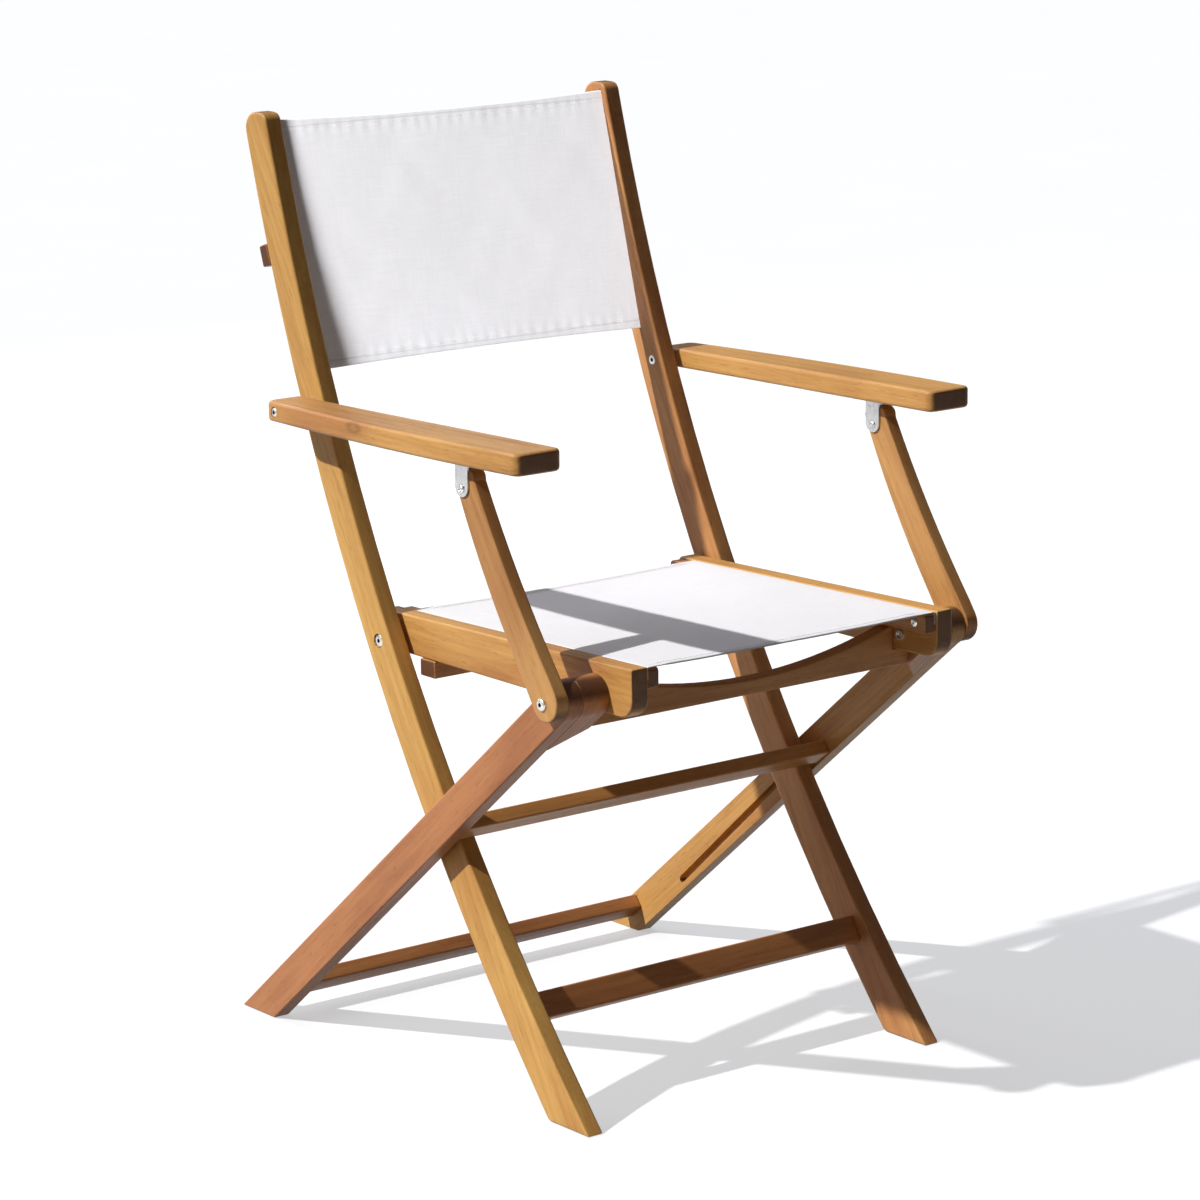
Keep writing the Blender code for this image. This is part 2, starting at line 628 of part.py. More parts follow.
for tag, side in SIDES:
    support = side_board("arm_support_" + tag, [support_outline()],
                         side * (SUPPORT_IN + SUPPORT_OUT) / 2, (SUPPORT_OUT - SUPPORT_IN) / 2, PIVOT_E)
    edge_round(support, 0.0016)
    cut(support, rod_cutter("support_bore_c_" + tag, BORE_R, side * 0.235, side * 0.262, PIVOT_C))
    cut(support, rod_cutter("support_bore_e_" + tag, 0.0023, side * 0.235, side * 0.262, PIVOT_E, 16))
    wood(support)
    hang(support, support_pivot)

# ----------------------------------------------------------------------------
# Armrests with their brackets
# ----------------------------------------------------------------------------
ARM_FRONT_Y, ARM_REAR_Y = 0.0225, 0.4350
ARM_TOP_FRONT_Z, ARM_TOP_REAR_Z = 0.6407, 0.6335
ARM_OUTER = (0.27344, 0.04583, -0.18236, 0.03146)     # outer edge x over y - ARM_FRONT_Y
ARM_LOW_FRONT_Z, ARM_LOW_REAR_Z = 0.6200, 0.6139


def arm_outer(y):
    return poly(ARM_OUTER, y - ARM_FRONT_Y)


def arm_under(y):
    t = (y - ARM_FRONT_Y) / (ARM_REAR_Y - ARM_FRONT_Y)
    return ARM_LOW_FRONT_Z + (ARM_LOW_REAR_Z - ARM_LOW_FRONT_Z) * t


def arm_top(y):
    t = (y - ARM_FRONT_Y) / (ARM_REAR_Y - ARM_FRONT_Y)
    return ARM_TOP_FRONT_Z + (ARM_TOP_REAR_Z - ARM_TOP_FRONT_Z) * t


BRACKET_Y0, BRACKET_Y1, BRACKET_T = 0.1180, 0.1368, 0.0015
BRACKET_MID = (BRACKET_Y0 + BRACKET_Y1) / 2
BRACKET_TOP = arm_under(BRACKET_Y1) - GAP
BRACKET_LOW = 0.5848

for tag, side in SIDES:
    y0, y1 = ARM_FRONT_Y - 0.010, ARM_REAR_Y + 0.010        # the plan cutter trims both ends
    outline = [(y0, arm_under(y0)), (y1, arm_under(y1)), (y1, arm_top(y1)), (y0, arm_top(y0))]
    arm = side_board("armrest_" + tag, [outline], side * 0.246, 0.040, PIVOT_A)
    outer_y = [0.0400 + (0.4150 - 0.0400) * k / 12 for k in range(13)]
    inner_y = [0.3000, 0.2400, 0.1800, 0.1200, 0.0400]
    corners = [(ARM_IN_FRONT, ARM_FRONT_Y), (arm_outer(ARM_FRONT_Y), ARM_FRONT_Y)]
    radii = [0.0090, 0.0095]
    corners += [(arm_outer(y), y) for y in outer_y]
    radii += [0.0] * len(outer_y)
    corners += [(arm_outer(ARM_REAR_Y), ARM_REAR_Y), (ARM_IN, ARM_REAR_Y)]
    radii += [0.0100, 0.0]
    for y in inner_y:
        t = max(0.0, min(1.0, (0.3000 - y) / 0.2000))
        corners.append((ARM_IN + (ARM_IN_FRONT - ARM_IN) * t * t * (3 - 2 * t), y))
        radii.append(0.0)
    plan = fillet([(side * x, y) for x, y in corners], radii, 5)
    plan = [(x - side * 0.246, y - PIVOT_A[0]) for x, y in plan]
    plan_cutter = board("armrest_plan_" + tag, [plan], 0.05,
                        (side * 0.246, PIVOT_A[0] - Y_SHIFT, 0.63), (0.0, 0.0, 0.0), cutters)
    cut(arm, plan_cutter, 'INTERSECT')
    edge_round(arm, 0.0036, 3)
    cut(arm, rod_cutter("arm_bore_a_" + tag, BORE_R, side * 0.215, side * 0.275, PIVOT_A))
    cut(arm, rod_cutter("arm_head_a_" + tag, ARM_HEAD_BORE_R,
                        side * (arm_outer(PIVOT_A[0]) - 0.0028), side * 0.275, PIVOT_A))
    screw_x = (SUPPORT_IN + SUPPORT_OUT) / 2
    up_screw = rod_cutter("arm_screw_bore_" + tag, 0.0020, 0.0, 0.016, (BRACKET_MID, 0.0), 12)
    up_screw.location = (side * screw_x, BRACKET_MID - Y_SHIFT, BRACKET_TOP + 0.0060)
    up_screw.rotation_euler = (0.0, 0.0, 0.0)
    cut(arm, up_screw)
    wood(arm)
    hang(arm, arm_pivot)

    x_in, x_out = SUPPORT_IN - 0.0005 - BRACKET_T, SUPPORT_OUT + 0.0005 + BRACKET_T
    half, mid = (x_out - x_in) / 2, (x_out + x_in) / 2
    tall = BRACKET_TOP - BRACKET_LOW + 0.004
    u_shape = fillet([(-half, -tall), (-half + BRACKET_T, -tall), (-half + BRACKET_T, -BRACKET_T),
                      (half - BRACKET_T, -BRACKET_T), (half - BRACKET_T, -tall), (half, -tall),
                      (half, 0.0), (-half, 0.0)],
                     [0.0, 0.0, 0.0006, 0.0006, 0.0, 0.0, 0.0018, 0.0018], 2)
    bracket = board("arm_bracket_" + tag, [u_shape], (BRACKET_Y1 - BRACKET_Y0) / 2 + 0.002,
                    (side * mid, BRACKET_MID - Y_SHIFT, BRACKET_TOP), FRONT_TURN)
    round_r = (BRACKET_Y1 - BRACKET_Y0) / 2
    tongue = ([(BRACKET_Y1, BRACKET_TOP + 0.01), (BRACKET_Y0, BRACKET_TOP + 0.01)]
              + arc((BRACKET_MID, BRACKET_LOW + round_r), round_r, math.pi, math.pi, 12))
    tongue_cutter = side_board("bracket_tongue_" + tag, [tongue], side * mid, 0.03,
                               (BRACKET_MID, BRACKET_TOP), cutters)
    cut(bracket, tongue_cutter, 'INTERSECT')
    hole = rod_cutter("bracket_hole_" + tag, 0.0031, 0.0, 0.008, (BRACKET_MID, 0.0), 12)
    hole.location = (side * screw_x, BRACKET_MID - Y_SHIFT, BRACKET_TOP)
    hole.rotation_euler = (0.0, 0.0, 0.0)
    cut(bracket, hole)
    for where, x0, x1 in (("out", x_out - BRACKET_T - 0.001, x_out + 0.001),
                          ("in", x_in - 0.001, x_in + BRACKET_T + 0.001)):
        cut(bracket, rod_cutter("bracket_rivet_hole_%s_%s" % (where, tag), 0.0023,
                                side * x0, side * x1, PIVOT_E, 16))
    steel(bracket)
    hang(bracket, arm_pivot)

    screw = turned("bracket_screw_" + tag,
                   [(0.0, 0.0128), (0.0010, 0.0120), (0.0016, 0.0100), (0.0016, 0.0004),
                    (0.0027, -0.0001), (0.0027, -0.0009), (0.0, -0.0013)],
                   (side * screw_x, BRACKET_MID - Y_SHIFT, BRACKET_TOP - 0.0004), (0.0, 0.0, 0.0), 12)
    steel(screw)
    hang(screw, arm_pivot)

    # rivet through both cheeks of the bracket and the arm support
    span = x_out - x_in
    rivet = turned("bracket_rivet_" + tag,
                   [(0.0, 0.0002), (0.0018, 0.0002), (0.0020, 0.0014), (0.0026, 0.0018),
                    (0.0036, 0.0014), (0.0042, 0.0006), (0.0042, GAP),
                    (0.0020, GAP), (0.0020, -span - GAP), (0.0040, -span - GAP),
                    (0.0036, -span - 0.0010), (0.0022, -span - 0.0018), (0.0, -span - 0.0021)],
                   at(side, x_out, PIVOT_E), across(side), 16)
    steel(rivet)
    hang(rivet, arm_pivot)

# ----------------------------------------------------------------------------
# Bolts, nuts and washers
# ----------------------------------------------------------------------------
for tag, side in SIDES:
    # armrest bolts: head sunk in the armrest, nut sunk in the post's inner face
    headed_bolt("bolt_a_" + tag, side, arm_outer(PIVOT_A[0]) - 0.0028 + GAP, POST_IN + 0.0012, PIVOT_A,
                ARM_HEAD_R)
    sleeve_nut("nut_a_" + tag, side, POST_IN + 0.0031, POST_IN - 0.0004, PIVOT_A)
    ring("washer_a_" + tag, side, POST_OUT + GAP, ARM_IN - GAP, PIVOT_A, BORE_R, 0.0085)

    # seat bolts: head sunk in the post's outer face, nut sunk in the rail
    headed_bolt("bolt_b_" + tag, side, POST_OUT - 0.0034 + GAP, RAIL_IN + 0.0014, PIVOT_B)
    nut = sleeve_nut("nut_b_" + tag, side, RAIL_IN + 0.0037, RAIL_IN + 0.0002, PIVOT_B)
    hang(nut, seat_pivot)
    ring("washer_b_" + tag, side, RAIL_OUT + GAP, POST_IN - GAP, PIVOT_B, BORE_R, 0.0085)

    # front bolts: head piece in the arm support, shank through leg, spacer and rail
    bolt = headed_bolt("bolt_c_head_" + tag, side, SUPPORT_OUT + GAP, SUPPORT_IN + 0.0002, PIVOT_C,
                       FRONT_HEAD_R)
    hang(bolt, support_pivot)
    shank = turned("bolt_c_shank_" + tag,
                   [(0.0, 0.0), (0.0026, 0.0), (SHAFT_R, -0.0004),
                    (SHAFT_R, -(LEG_OUT - 0.0003 - NUT_C_IN - 0.0012) + 0.0005),
                    (0.0025, -(LEG_OUT - 0.0003 - NUT_C_IN - 0.0012)),
                    (0.0, -(LEG_OUT - 0.0003 - NUT_C_IN - 0.0012))],
                   at(side, LEG_OUT - 0.0003, PIVOT_C), across(side))
    steel(shank)
    hang(shank, seat_pivot)
    nut = ring("nut_c_" + tag, side, NUT_C_IN, RAIL_IN - GAP, PIVOT_C, BORE_R, 0.0049)
    hang(nut, seat_pivot)

    # guide pins for the crossed legs, pressed in the posts
    pin = turned("slot_pin_" + tag,
                 [(0.0, 0.0064), (0.0026, 0.0064), (SHAFT_R, 0.0060), (SHAFT_R, -0.0095),
                  (0.0026, -0.0099), (0.0, -0.0099)],
                 at(side, POST_OUT, PIVOT_D), across(side), 16)
    steel(pin)

bpy.context.view_layer.update()
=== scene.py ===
"""Looks for the folding armchair: oiled hardwood, woven cloths, zinc plated hardware."""
import math

import bmesh
import bpy
from mathutils import Matrix, Vector


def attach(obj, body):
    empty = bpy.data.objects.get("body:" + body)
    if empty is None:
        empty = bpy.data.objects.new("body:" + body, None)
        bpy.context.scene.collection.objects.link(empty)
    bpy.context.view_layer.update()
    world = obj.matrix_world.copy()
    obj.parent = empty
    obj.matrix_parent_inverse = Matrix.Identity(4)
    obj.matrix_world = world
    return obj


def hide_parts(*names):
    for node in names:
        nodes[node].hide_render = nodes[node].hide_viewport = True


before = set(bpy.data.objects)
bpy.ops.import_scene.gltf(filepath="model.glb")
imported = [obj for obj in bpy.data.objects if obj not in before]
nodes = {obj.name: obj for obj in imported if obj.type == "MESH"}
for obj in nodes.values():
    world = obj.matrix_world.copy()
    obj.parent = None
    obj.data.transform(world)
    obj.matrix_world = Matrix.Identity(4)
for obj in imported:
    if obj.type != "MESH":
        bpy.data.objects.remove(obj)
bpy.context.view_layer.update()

scene = bpy.context.scene

# ----------------------------------------------------------------------------
# Places taken over from the CAD, in the row frame, metres
# ----------------------------------------------------------------------------
Y_SHIFT = 0.24760
POST_IN = 0.1986
BACK_TOP = Vector((0.0, 0.5010 - Y_SHIFT, 0.8921))
BACK_LOW = Vector((0.0, 0.4380 - Y_SHIFT, 0.6544))
BATTEN_FRONT_Y, BATTEN_TOP_Z, SEAT_SLOPE = -0.0371 - Y_SHIFT, 0.4423, -0.0253
SEAT_FRONT_Y, SEAT_REAR_Y = -0.0366 - Y_SHIFT, 0.3215 - Y_SHIFT
GAP = 0.0003


# ----------------------------------------------------------------------------
# Node helpers
# ----------------------------------------------------------------------------
class Tree:
    """Small wrapper that keeps node code readable."""

    def __init__(self, name):
        self.mat = bpy.data.materials.new(name)
        self.mat.use_nodes = True
        self.t = self.mat.node_tree
        self.shader = self.t.nodes["Principled BSDF"]

    def link(self, a, b):
        self.t.links.new(a, b)

    def put(self, socket, value):
        if isinstance(value, bpy.types.NodeSocket):
            self.link(value, socket)
        else:
            socket.default_value = value

    def node(self, kind, **props):
        n = self.t.nodes.new(kind)
        for k, v in props.items():
            setattr(n, k, v)
        return n

    def math(self, op, a, b=0.0, c=None, clamp=False):
        n = self.node("ShaderNodeMath", operation=op, use_clamp=clamp)
        self.put(n.inputs[0], a)
        self.put(n.inputs[1], b)
        if c is not None:
            self.put(n.inputs[2], c)
        return n.outputs[0]

    def vec(self, op, a, b=None):
        n = self.node("ShaderNodeVectorMath", operation=op)
        self.put(n.inputs[0], a)
        if b is not None:
            self.put(n.inputs[1], b)
        return n.outputs["Value"] if op in ("LENGTH", "DOT_PRODUCT", "DISTANCE") else n.outputs["Vector"]

    def turn(self, vector, euler=(0.0, 0.0, 0.0), place=(0.0, 0.0, 0.0), scale=(1.0, 1.0, 1.0)):
        n = self.node("ShaderNodeMapping")
        self.put(n.inputs["Vector"], vector)
        n.inputs["Location"].default_value = place
        n.inputs["Rotation"].default_value = euler
        n.inputs["Scale"].default_value = scale
        return n.outputs["Vector"]

    def noise(self, vector, scale, detail=2.0, rough=0.5, distortion=0.0):
        n = self.node("ShaderNodeTexNoise")
        self.put(n.inputs["Vector"], vector)
        n.inputs["Scale"].default_value = scale
        n.inputs["Detail"].default_value = detail
        n.inputs["Roughness"].default_value = rough
        n.inputs["Distortion"].default_value = distortion
        return n.outputs["Fac"]

    def span(self, value, a, b, c=0.0, d=1.0, smooth=False):
        n = self.node("ShaderNodeMapRange", clamp=True)
        if smooth:
            n.interpolation_type = 'SMOOTHSTEP'
        self.put(n.inputs["Value"], value)
        for key, x in zip(("From Min", "From Max", "To Min", "To Max"), (a, b, c, d)):
            n.inputs[key].default_value = x
        return n.outputs["Result"]

    def ramp(self, value, stops):
        n = self.node("ShaderNodeValToRGB")
        self.put(n.inputs["Fac"], value)
        e = n.color_ramp.elements
        while len(e) < len(stops):
            e.new(0.5)
        for item, (p, c) in zip(e, stops):
            item.position = p
            item.color = (*c, 1.0) if not isinstance(c, float) else (c, c, c, 1.0)
        return n.outputs["Color"]

    def mix(self, factor, a, b, blend='MIX'):
        n = self.node("ShaderNodeMix", data_type='RGBA', blend_type=blend)
        self.put(n.inputs["Factor"], factor)
        for key, v in (("A", a), ("B", b)):
            socket = [s for s in n.inputs if s.name == key and s.type == 'RGBA'][0]
            self.put(socket, (*v, 1.0) if isinstance(v, tuple) and len(v) == 3 else v)
        return [s for s in n.outputs if s.type == 'RGBA'][0]

    def bump(self, height, strength, distance, normal=None):
        n = self.node("ShaderNodeBump")
        n.inputs["Strength"].default_value = strength
        n.inputs["Distance"].default_value = distance
        self.put(n.inputs["Height"], height)
        if normal is not None:
            self.put(n.inputs["Normal"], normal)
        return n.outputs["Normal"]

    def coords(self):
        n = self.node("ShaderNodeTexCoord")
        return n.outputs["Object"], n.outputs["Normal"]


def srgb(r, g, b):
    def lin(c):
        c /= 255.0
        return c / 12.92 if c <= 0.04045 else ((c + 0.055) / 1.055) ** 2.4
    return (lin(r), lin(g), lin(b))


# ----------------------------------------------------------------------------
# Wood
# ----------------------------------------------------------------------------
def wood(name, turn, tone, seed, pith=(0.06, 0.05), pitch=0.0034, figure=1.0, knot=None):
    """Oiled board; turn brings the board's length onto Y. tone is (light, dark) linear colour."""
    k = Tree("wood_" + name)
    light, dark = tone
    obj, normal = k.coords()
    p = k.turn(obj, euler=turn)
    seeded = k.vec('ADD', p, (seed * 1.37, seed * 0.71, seed * 2.11))

    # slow wander of the growth rings, with a swirl round the knot
    wander = k.noise(k.vec('MULTIPLY', seeded, (1.0, 0.22, 1.0)), 16.0, 2.0, 0.5)
    wander = k.math('MULTIPLY', k.math('SUBTRACT', wander, 0.5), 0.020 * figure)
    fine_wander = k.noise(k.vec('MULTIPLY', seeded, (1.0, 0.10, 1.0)), 90.0, 2.0, 0.5)
    fine_wander = k.math('MULTIPLY', k.math('SUBTRACT', fine_wander, 0.5), 0.0022)
    shifted = k.vec('SUBTRACT', p, (pith[0], 0.0, pith[1]))
    across = k.vec('LENGTH', k.vec('MULTIPLY', shifted, (1.0, 0.015, 1.0)))
    phase = k.math('ADD', k.math('ADD', across, wander), fine_wander)
    knot_core = None
    if knot is not None:
        centre, size = knot
        around = k.vec('LENGTH', k.vec('MULTIPLY', k.vec('SUBTRACT', p, centre),
                                       (1.0 / size, 0.45 / size, 1.0 / size)))
        swell = k.span(around, 0.0, 2.6, 1.0, 0.0, smooth=True)
        phase = k.math('ADD', phase, k.math('MULTIPLY', swell, size * 2.2))
        knot_core = k.math('MULTIPLY', k.span(around, 0.20, 0.45, 0.35, 1.0, smooth=True), k.span(around, 0.55, 0.95, 1.0, 0.0, smooth=True))
    ring = k.math('FRACT', k.math('DIVIDE', phase, pitch))
    ring = k.ramp(ring, [(0.0, 0.10), (0.45, 0.22), (0.82, 0.85), (0.93, 1.0), (1.0, 0.12)])
    ring_depth = k.span(k.noise(k.vec('MULTIPLY', seeded, (1.0, 0.3, 1.0)), 22.0, 1.0), 0.3, 0.75, 0.15, 0.8)
    ring = k.math('MULTIPLY', ring, ring_depth)

    # streaks along the length
    streak = k.noise(k.vec('MULTIPLY', seeded, (1.0, 0.035, 1.0)), 150.0, 4.0, 0.62)
    patch = k.noise(k.vec('MULTIPLY', seeded, (1.0, 0.28, 1.0)), 14.0, 3.0, 0.55, 0.4)
    fibre = k.noise(k.vec('MULTIPLY', seeded, (1.0, 0.022, 1.0)), 1500.0, 2.0, 0.6)
    pores = k.span(k.noise(k.vec('MULTIPLY', seeded, (1.0, 0.055, 1.0)), 1150.0, 1.0, 0.5),
                   0.63, 0.74)

    depth = k.math('ADD', k.math('MULTIPLY', ring, 0.34 * figure),
                   k.span(streak, 0.32, 0.70, 0.0, 0.46))
    depth = k.math('ADD', depth, k.span(patch, 0.34, 0.68, -0.16, 0.34))
    depth = k.math('ADD', depth, k.span(fibre, 0.3, 0.7, -0.07, 0.07), clamp=True)
    colour = k.mix(depth, light, dark)
    red = tuple(c * s for c, s in zip(dark, (1.10, 0.86, 0.72)))
    colour = k.mix(k.span(patch, 0.52, 0.78, 0.0, 0.45), colour, red)
    colour = k.mix(k.math('MULTIPLY', pores, 0.42), colour, tuple(c * 0.42 for c in dark))
    if knot_core is not None:
        colour = k.mix(k.math('MULTIPLY', knot_core, 0.50), colour, tuple(c * 0.50 for c in dark))

    # end grain is darker and drinks more oil; the end faces are also painted darker still, painted shade for the
    # front ends that face away from the key light
    end = k.math('ABSOLUTE', k.vec('DOT_PRODUCT', k.turn(normal, euler=turn), (0.0, 1.0, 0.0)))
    end = k.span(end, 0.70, 0.93)
    colour = k.mix(k.math('MULTIPLY', end, 0.90), colour, tuple(c * s for c, s in zip(dark, (0.20, 0.16, 0.17))))

    # handling wear: the rounded edges are rubbed a little paler
    geometry = k.node("ShaderNodeNewGeometry")
    soft = k.node("ShaderNodeBevel", samples=4)
    soft.inputs["Radius"].default_value = 0.0022
    facing = k.vec('DOT_PRODUCT', soft.outputs["Normal"], geometry.outputs["True Normal"])
    edge = k.span(facing, 0.985, 0.86)
    rub = k.span(k.noise(seeded, 42.0, 3.0, 0.6), 0.40, 0.66)
    worn = k.math('MULTIPLY', k.math('MULTIPLY', edge, rub), 0.34)
    colour = k.mix(worn, colour, tuple(min(1.0, c * 1.30) for c in light))

    k.link(colour, k.shader.inputs["Base Color"])
    rough = k.math('ADD', k.span(streak, 0.3, 0.7, 0.40, 0.54), k.math('MULTIPLY', pores, 0.12))
    rough = k.math('ADD', rough, k.math('MULTIPLY', end, 0.14))
    k.link(rough, k.shader.inputs["Roughness"])
    k.shader.inputs["Specular IOR Level"].default_value = 0.42
    height = k.math('SUBTRACT', k.math('MULTIPLY', fibre, 0.55), k.math('MULTIPLY', pores, 0.8))
    height = k.math('SUBTRACT', height, k.math('MULTIPLY', ring, 0.35))
    k.link(k.bump(height, 0.30, 0.00028), k.shader.inputs["Normal"])
    return k.mat


def lean(dy, dz):
    """Turn about X that brings the side view direction (dy, dz) onto Y."""
    return (-math.atan2(dz, dy), 0.0, 0.0)


CROSS = (0.0, 0.0, math.pi / 2)      # boards that run along X
GOLD = (srgb(211, 166, 93), srgb(168, 118, 58))
HONEY = (srgb(206, 157, 89), srgb(160, 108, 56))
AMBER = (srgb(196, 148, 88), srgb(150, 101, 56))
TAN = (srgb(208, 152, 94), srgb(156, 102, 60))
RUSSET = (srgb(186, 126, 80), srgb(142, 88, 54))
BROWN = (srgb(196, 134, 82), srgb(146, 94, 54))
UMBER = (srgb(204, 146, 84), srgb(154, 102, 54))

post_turn = lean(0.50, 0.88)
leg_turn = lean(-0.7689, 0.6393)
support_turn = lean(0.115, 0.180)
boards = {
    "post_l": (post_turn, GOLD, 1.0, (0.10, 0.05), 0.0036, 0.9, None),
    "post_r": (post_turn, TAN, 2.3, (-0.08, 0.03), 0.0033, 1.1, None),
    "crossed_leg_l": (leg_turn, RUSSET, 3.1, (0.07, -0.06), 0.0042, 0.9, None),
    "crossed_leg_r": (leg_turn, HONEY, 4.7, (-0.10, 0.02), 0.0034, 1.0, None),
    "arm_support_l": (support_turn, AMBER, 5.9, (0.05, 0.07), 0.0030, 0.8, None),
    "arm_support_r": (support_turn, AMBER, 6.2, (-0.06, 0.06), 0.0028, 1.0, None),
    "armrest_l": ((0.0, 0.0, 0.0), HONEY, 7.4, (-0.20, 0.56), 0.0036, 1.2,
                  ((-0.2752, 0.0258, 0.6306), 0.0080)),
    "armrest_r": ((0.0, 0.0, 0.0), HONEY, 8.8, (0.18, 0.55), 0.0034, 1.1, None),
    "seat_rail_l": ((0.0, 0.0, 0.0), HONEY, 9.3, (-0.09, 0.40), 0.0036, 1.2, None),
    "seat_rail_r": ((0.0, 0.0, 0.0), HONEY, 10.6, (0.10, 0.47), 0.0034, 1.0, None),
    "seat_batten_l": ((0.0, 0.0, 0.0), HONEY, 11.2, (-0.10, 0.48), 0.0030, 0.9, None),
    "seat_batten_r": ((0.0, 0.0, 0.0), TAN, 12.9, (0.10, 0.50), 0.0030, 0.9, None),
    "spacer_block_l": (leg_turn, BROWN, 13.4, (-0.12, 0.05), 0.0026, 1.1, None),
    "spacer_block_r": (leg_turn, TAN, 14.8, (0.12, 0.05), 0.0026, 1.1, None),
    "front_stretcher": (CROSS, BROWN, 15.1, (-0.10, 0.02), 0.0030, 1.0, None),
    "back_crossbar": (CROSS, RUSSET, 16.6, (0.30, 0.70), 0.0030, 1.0, None),
    "seat_crossrail_front": (CROSS, UMBER, 17.5, (-0.26, 0.30), 0.0032, 1.0, None),
    "seat_crossrail_rear": (CROSS, TAN, 18.3, (0.09, 0.33), 0.0030, 0.9, None),
    "crossed_stretcher_mid": (CROSS, UMBER, 19.7, (-0.12, 0.18), 0.0030, 1.0, None),
    "crossed_stretcher_rear": (CROSS, BROWN, 20.9, (0.20, 0.06), 0.0030, 1.0, None),
}
for name, (turn, tone, seed, pith, pitch, figure, knot) in boards.items():
    mat = wood(name, turn, tone, seed, pith, pitch, figure, knot)
    mesh = nodes[name].data
    for i in range(len(mesh.materials)):
        nodes[name].material_slots[i].link = 'OBJECT'
        nodes[name].material_slots[i].material = mat


# ----------------------------------------------------------------------------
# Zinc plated steel
# ----------------------------------------------------------------------------
def zinc(name, seed, base=(0.68, 0.69, 0.68), brushed=(1.0, 1.0, 0.15), socket=None):
    """socket is (y, z, x of the head's seat): the hexagon socket there is painted near black, painted shade in
    the recess.
    """
    k = Tree("zinc_" + name)
    obj, _ = k.coords()
    p = k.vec('ADD', obj, (seed, seed * 0.6, seed * 0.3))
    cloud = k.noise(p, 260.0, 3.0, 0.6)
    scratch = k.noise(k.vec('MULTIPLY', p, brushed), 5200.0, 2.0, 0.6)
    grime = k.span(k.noise(p, 620.0, 4.0, 0.65), 0.54, 0.74)
    colour = k.mix(k.span(cloud, 0.35, 0.65), base, tuple(c * s for c, s in zip(base, (0.86, 0.88, 0.93))))
    colour = k.mix(k.math('MULTIPLY', grime, 0.35), colour, (0.30, 0.28, 0.25))
    if socket is not None:
        y, z, seat = socket
        off = k.vec('LENGTH', k.vec('MULTIPLY', k.vec('SUBTRACT', obj, (0.0, y, z)), (0.0, 1.0, 1.0)))
        out = k.vec('LENGTH', k.vec('MULTIPLY', obj, (1.0, 0.0, 0.0)))
        # painted shade: the hexagon socket's recess is painted near black
        painted_socket_shade = k.math('MULTIPLY', k.span(off, 0.0019, 0.0024, 1.0, 0.0), k.span(out, seat + 0.0018, seat + 0.0024, 1.0, 0.0))
        colour = k.mix(painted_socket_shade, colour, (0.015, 0.014, 0.013))
    k.link(colour, k.shader.inputs["Base Color"])
    k.shader.inputs["Metallic"].default_value = 1.0
    rough = k.math('ADD', k.span(cloud, 0.3, 0.7, 0.30, 0.42), k.span(scratch, 0.3, 0.7, -0.04, 0.06))
    k.link(rough, k.shader.inputs["Roughness"])
    k.link(k.bump(scratch, 0.18, 0.00006), k.shader.inputs["Normal"])
    return k.mat


metal_names = [n for n, o in nodes.items() if n.startswith((
    "batten_screw", "arm_bracket", "bracket_", "bolt_", "nut_", "washer_", "slot_pin"))]
sheet_zinc = zinc("sheet", 1.3, brushed=(1.0, 1.0, 0.12))
turned_zinc = zinc("turned", 4.1, base=(0.74, 0.74, 0.72), brushed=(0.15, 1.0, 1.0))
heads = {"bolt_a": (0.4185 - Y_SHIFT, 0.6237, 0.26245), "bolt_b": (0.3202 - Y_SHIFT, 0.4103, 0.2142),
         "bolt_c_head": (0.0124 - Y_SHIFT, 0.4126, 0.2559)}
head_zinc = {n: zinc(n, 2.2 + i, (0.78, 0.78, 0.76), (0.15, 1.0, 1.0), place)
             for i, (n, place) in enumerate(heads.items())}
for n in metal_names:
    for s in nodes[n].material_slots:
        s.link = 'OBJECT'
        s.material = (head_zinc[n[:-2]] if n[:-2] in heads else
                      sheet_zinc if n.startswith("arm_bracket") or n.startswith("washer") else turned_zinc)


# ----------------------------------------------------------------------------
# Soft shading of the rounded faces, as a modifier
# ----------------------------------------------------------------------------
def shading_group():
    g = bpy.data.node_groups.new("soft_shading", "GeometryNodeTree")
    g.interface.new_socket("Geometry", in_out='INPUT', socket_type='NodeSocketGeometry')
    g.interface.new_socket("Geometry", in_out='OUTPUT', socket_type='NodeSocketGeometry')
    start, end = g.nodes.new("NodeGroupInput"), g.nodes.new("NodeGroupOutput")
    weld = g.nodes.new("GeometryNodeMergeByDistance")
    weld.inputs["Distance"].default_value = 0.000002
    faces = g.nodes.new("GeometryNodeSetShadeSmooth")
    faces.domain = 'FACE'
    edges = g.nodes.new("GeometryNodeSetShadeSmooth")
    edges.domain = 'EDGE'
    edges.inputs["Shade Smooth"].default_value = False
    angle = g.nodes.new("GeometryNodeInputMeshEdgeAngle")
    steep = g.nodes.new("FunctionNodeCompare")
    steep.data_type = 'FLOAT'
    steep.operation = 'GREATER_THAN'
    steep.inputs[1].default_value = math.radians(48.0)
    g.links.new(start.outputs[0], weld.inputs["Geometry"])
    g.links.new(weld.outputs[0], faces.inputs["Geometry"])
    g.links.new(faces.outputs[0], edges.inputs["Geometry"])
    g.links.new(angle.outputs["Unsigned Angle"], steep.inputs[0])
    g.links.new(steep.outputs[0], edges.inputs["Selection"])
    g.links.new(edges.outputs[0], end.inputs[0])
    return g


group = shading_group()
for n, o in nodes.items():
    if n in ("back_sling", "seat_sling"):
        continue
    mod = o.modifiers.new("soft_shading", 'NODES')
    mod.node_group = group
    weighted = o.modifiers.new("weighted", 'WEIGHTED_NORMAL')
    weighted.mode = 'FACE_AREA'
    weighted.weight = 50
    weighted.keep_sharp = True


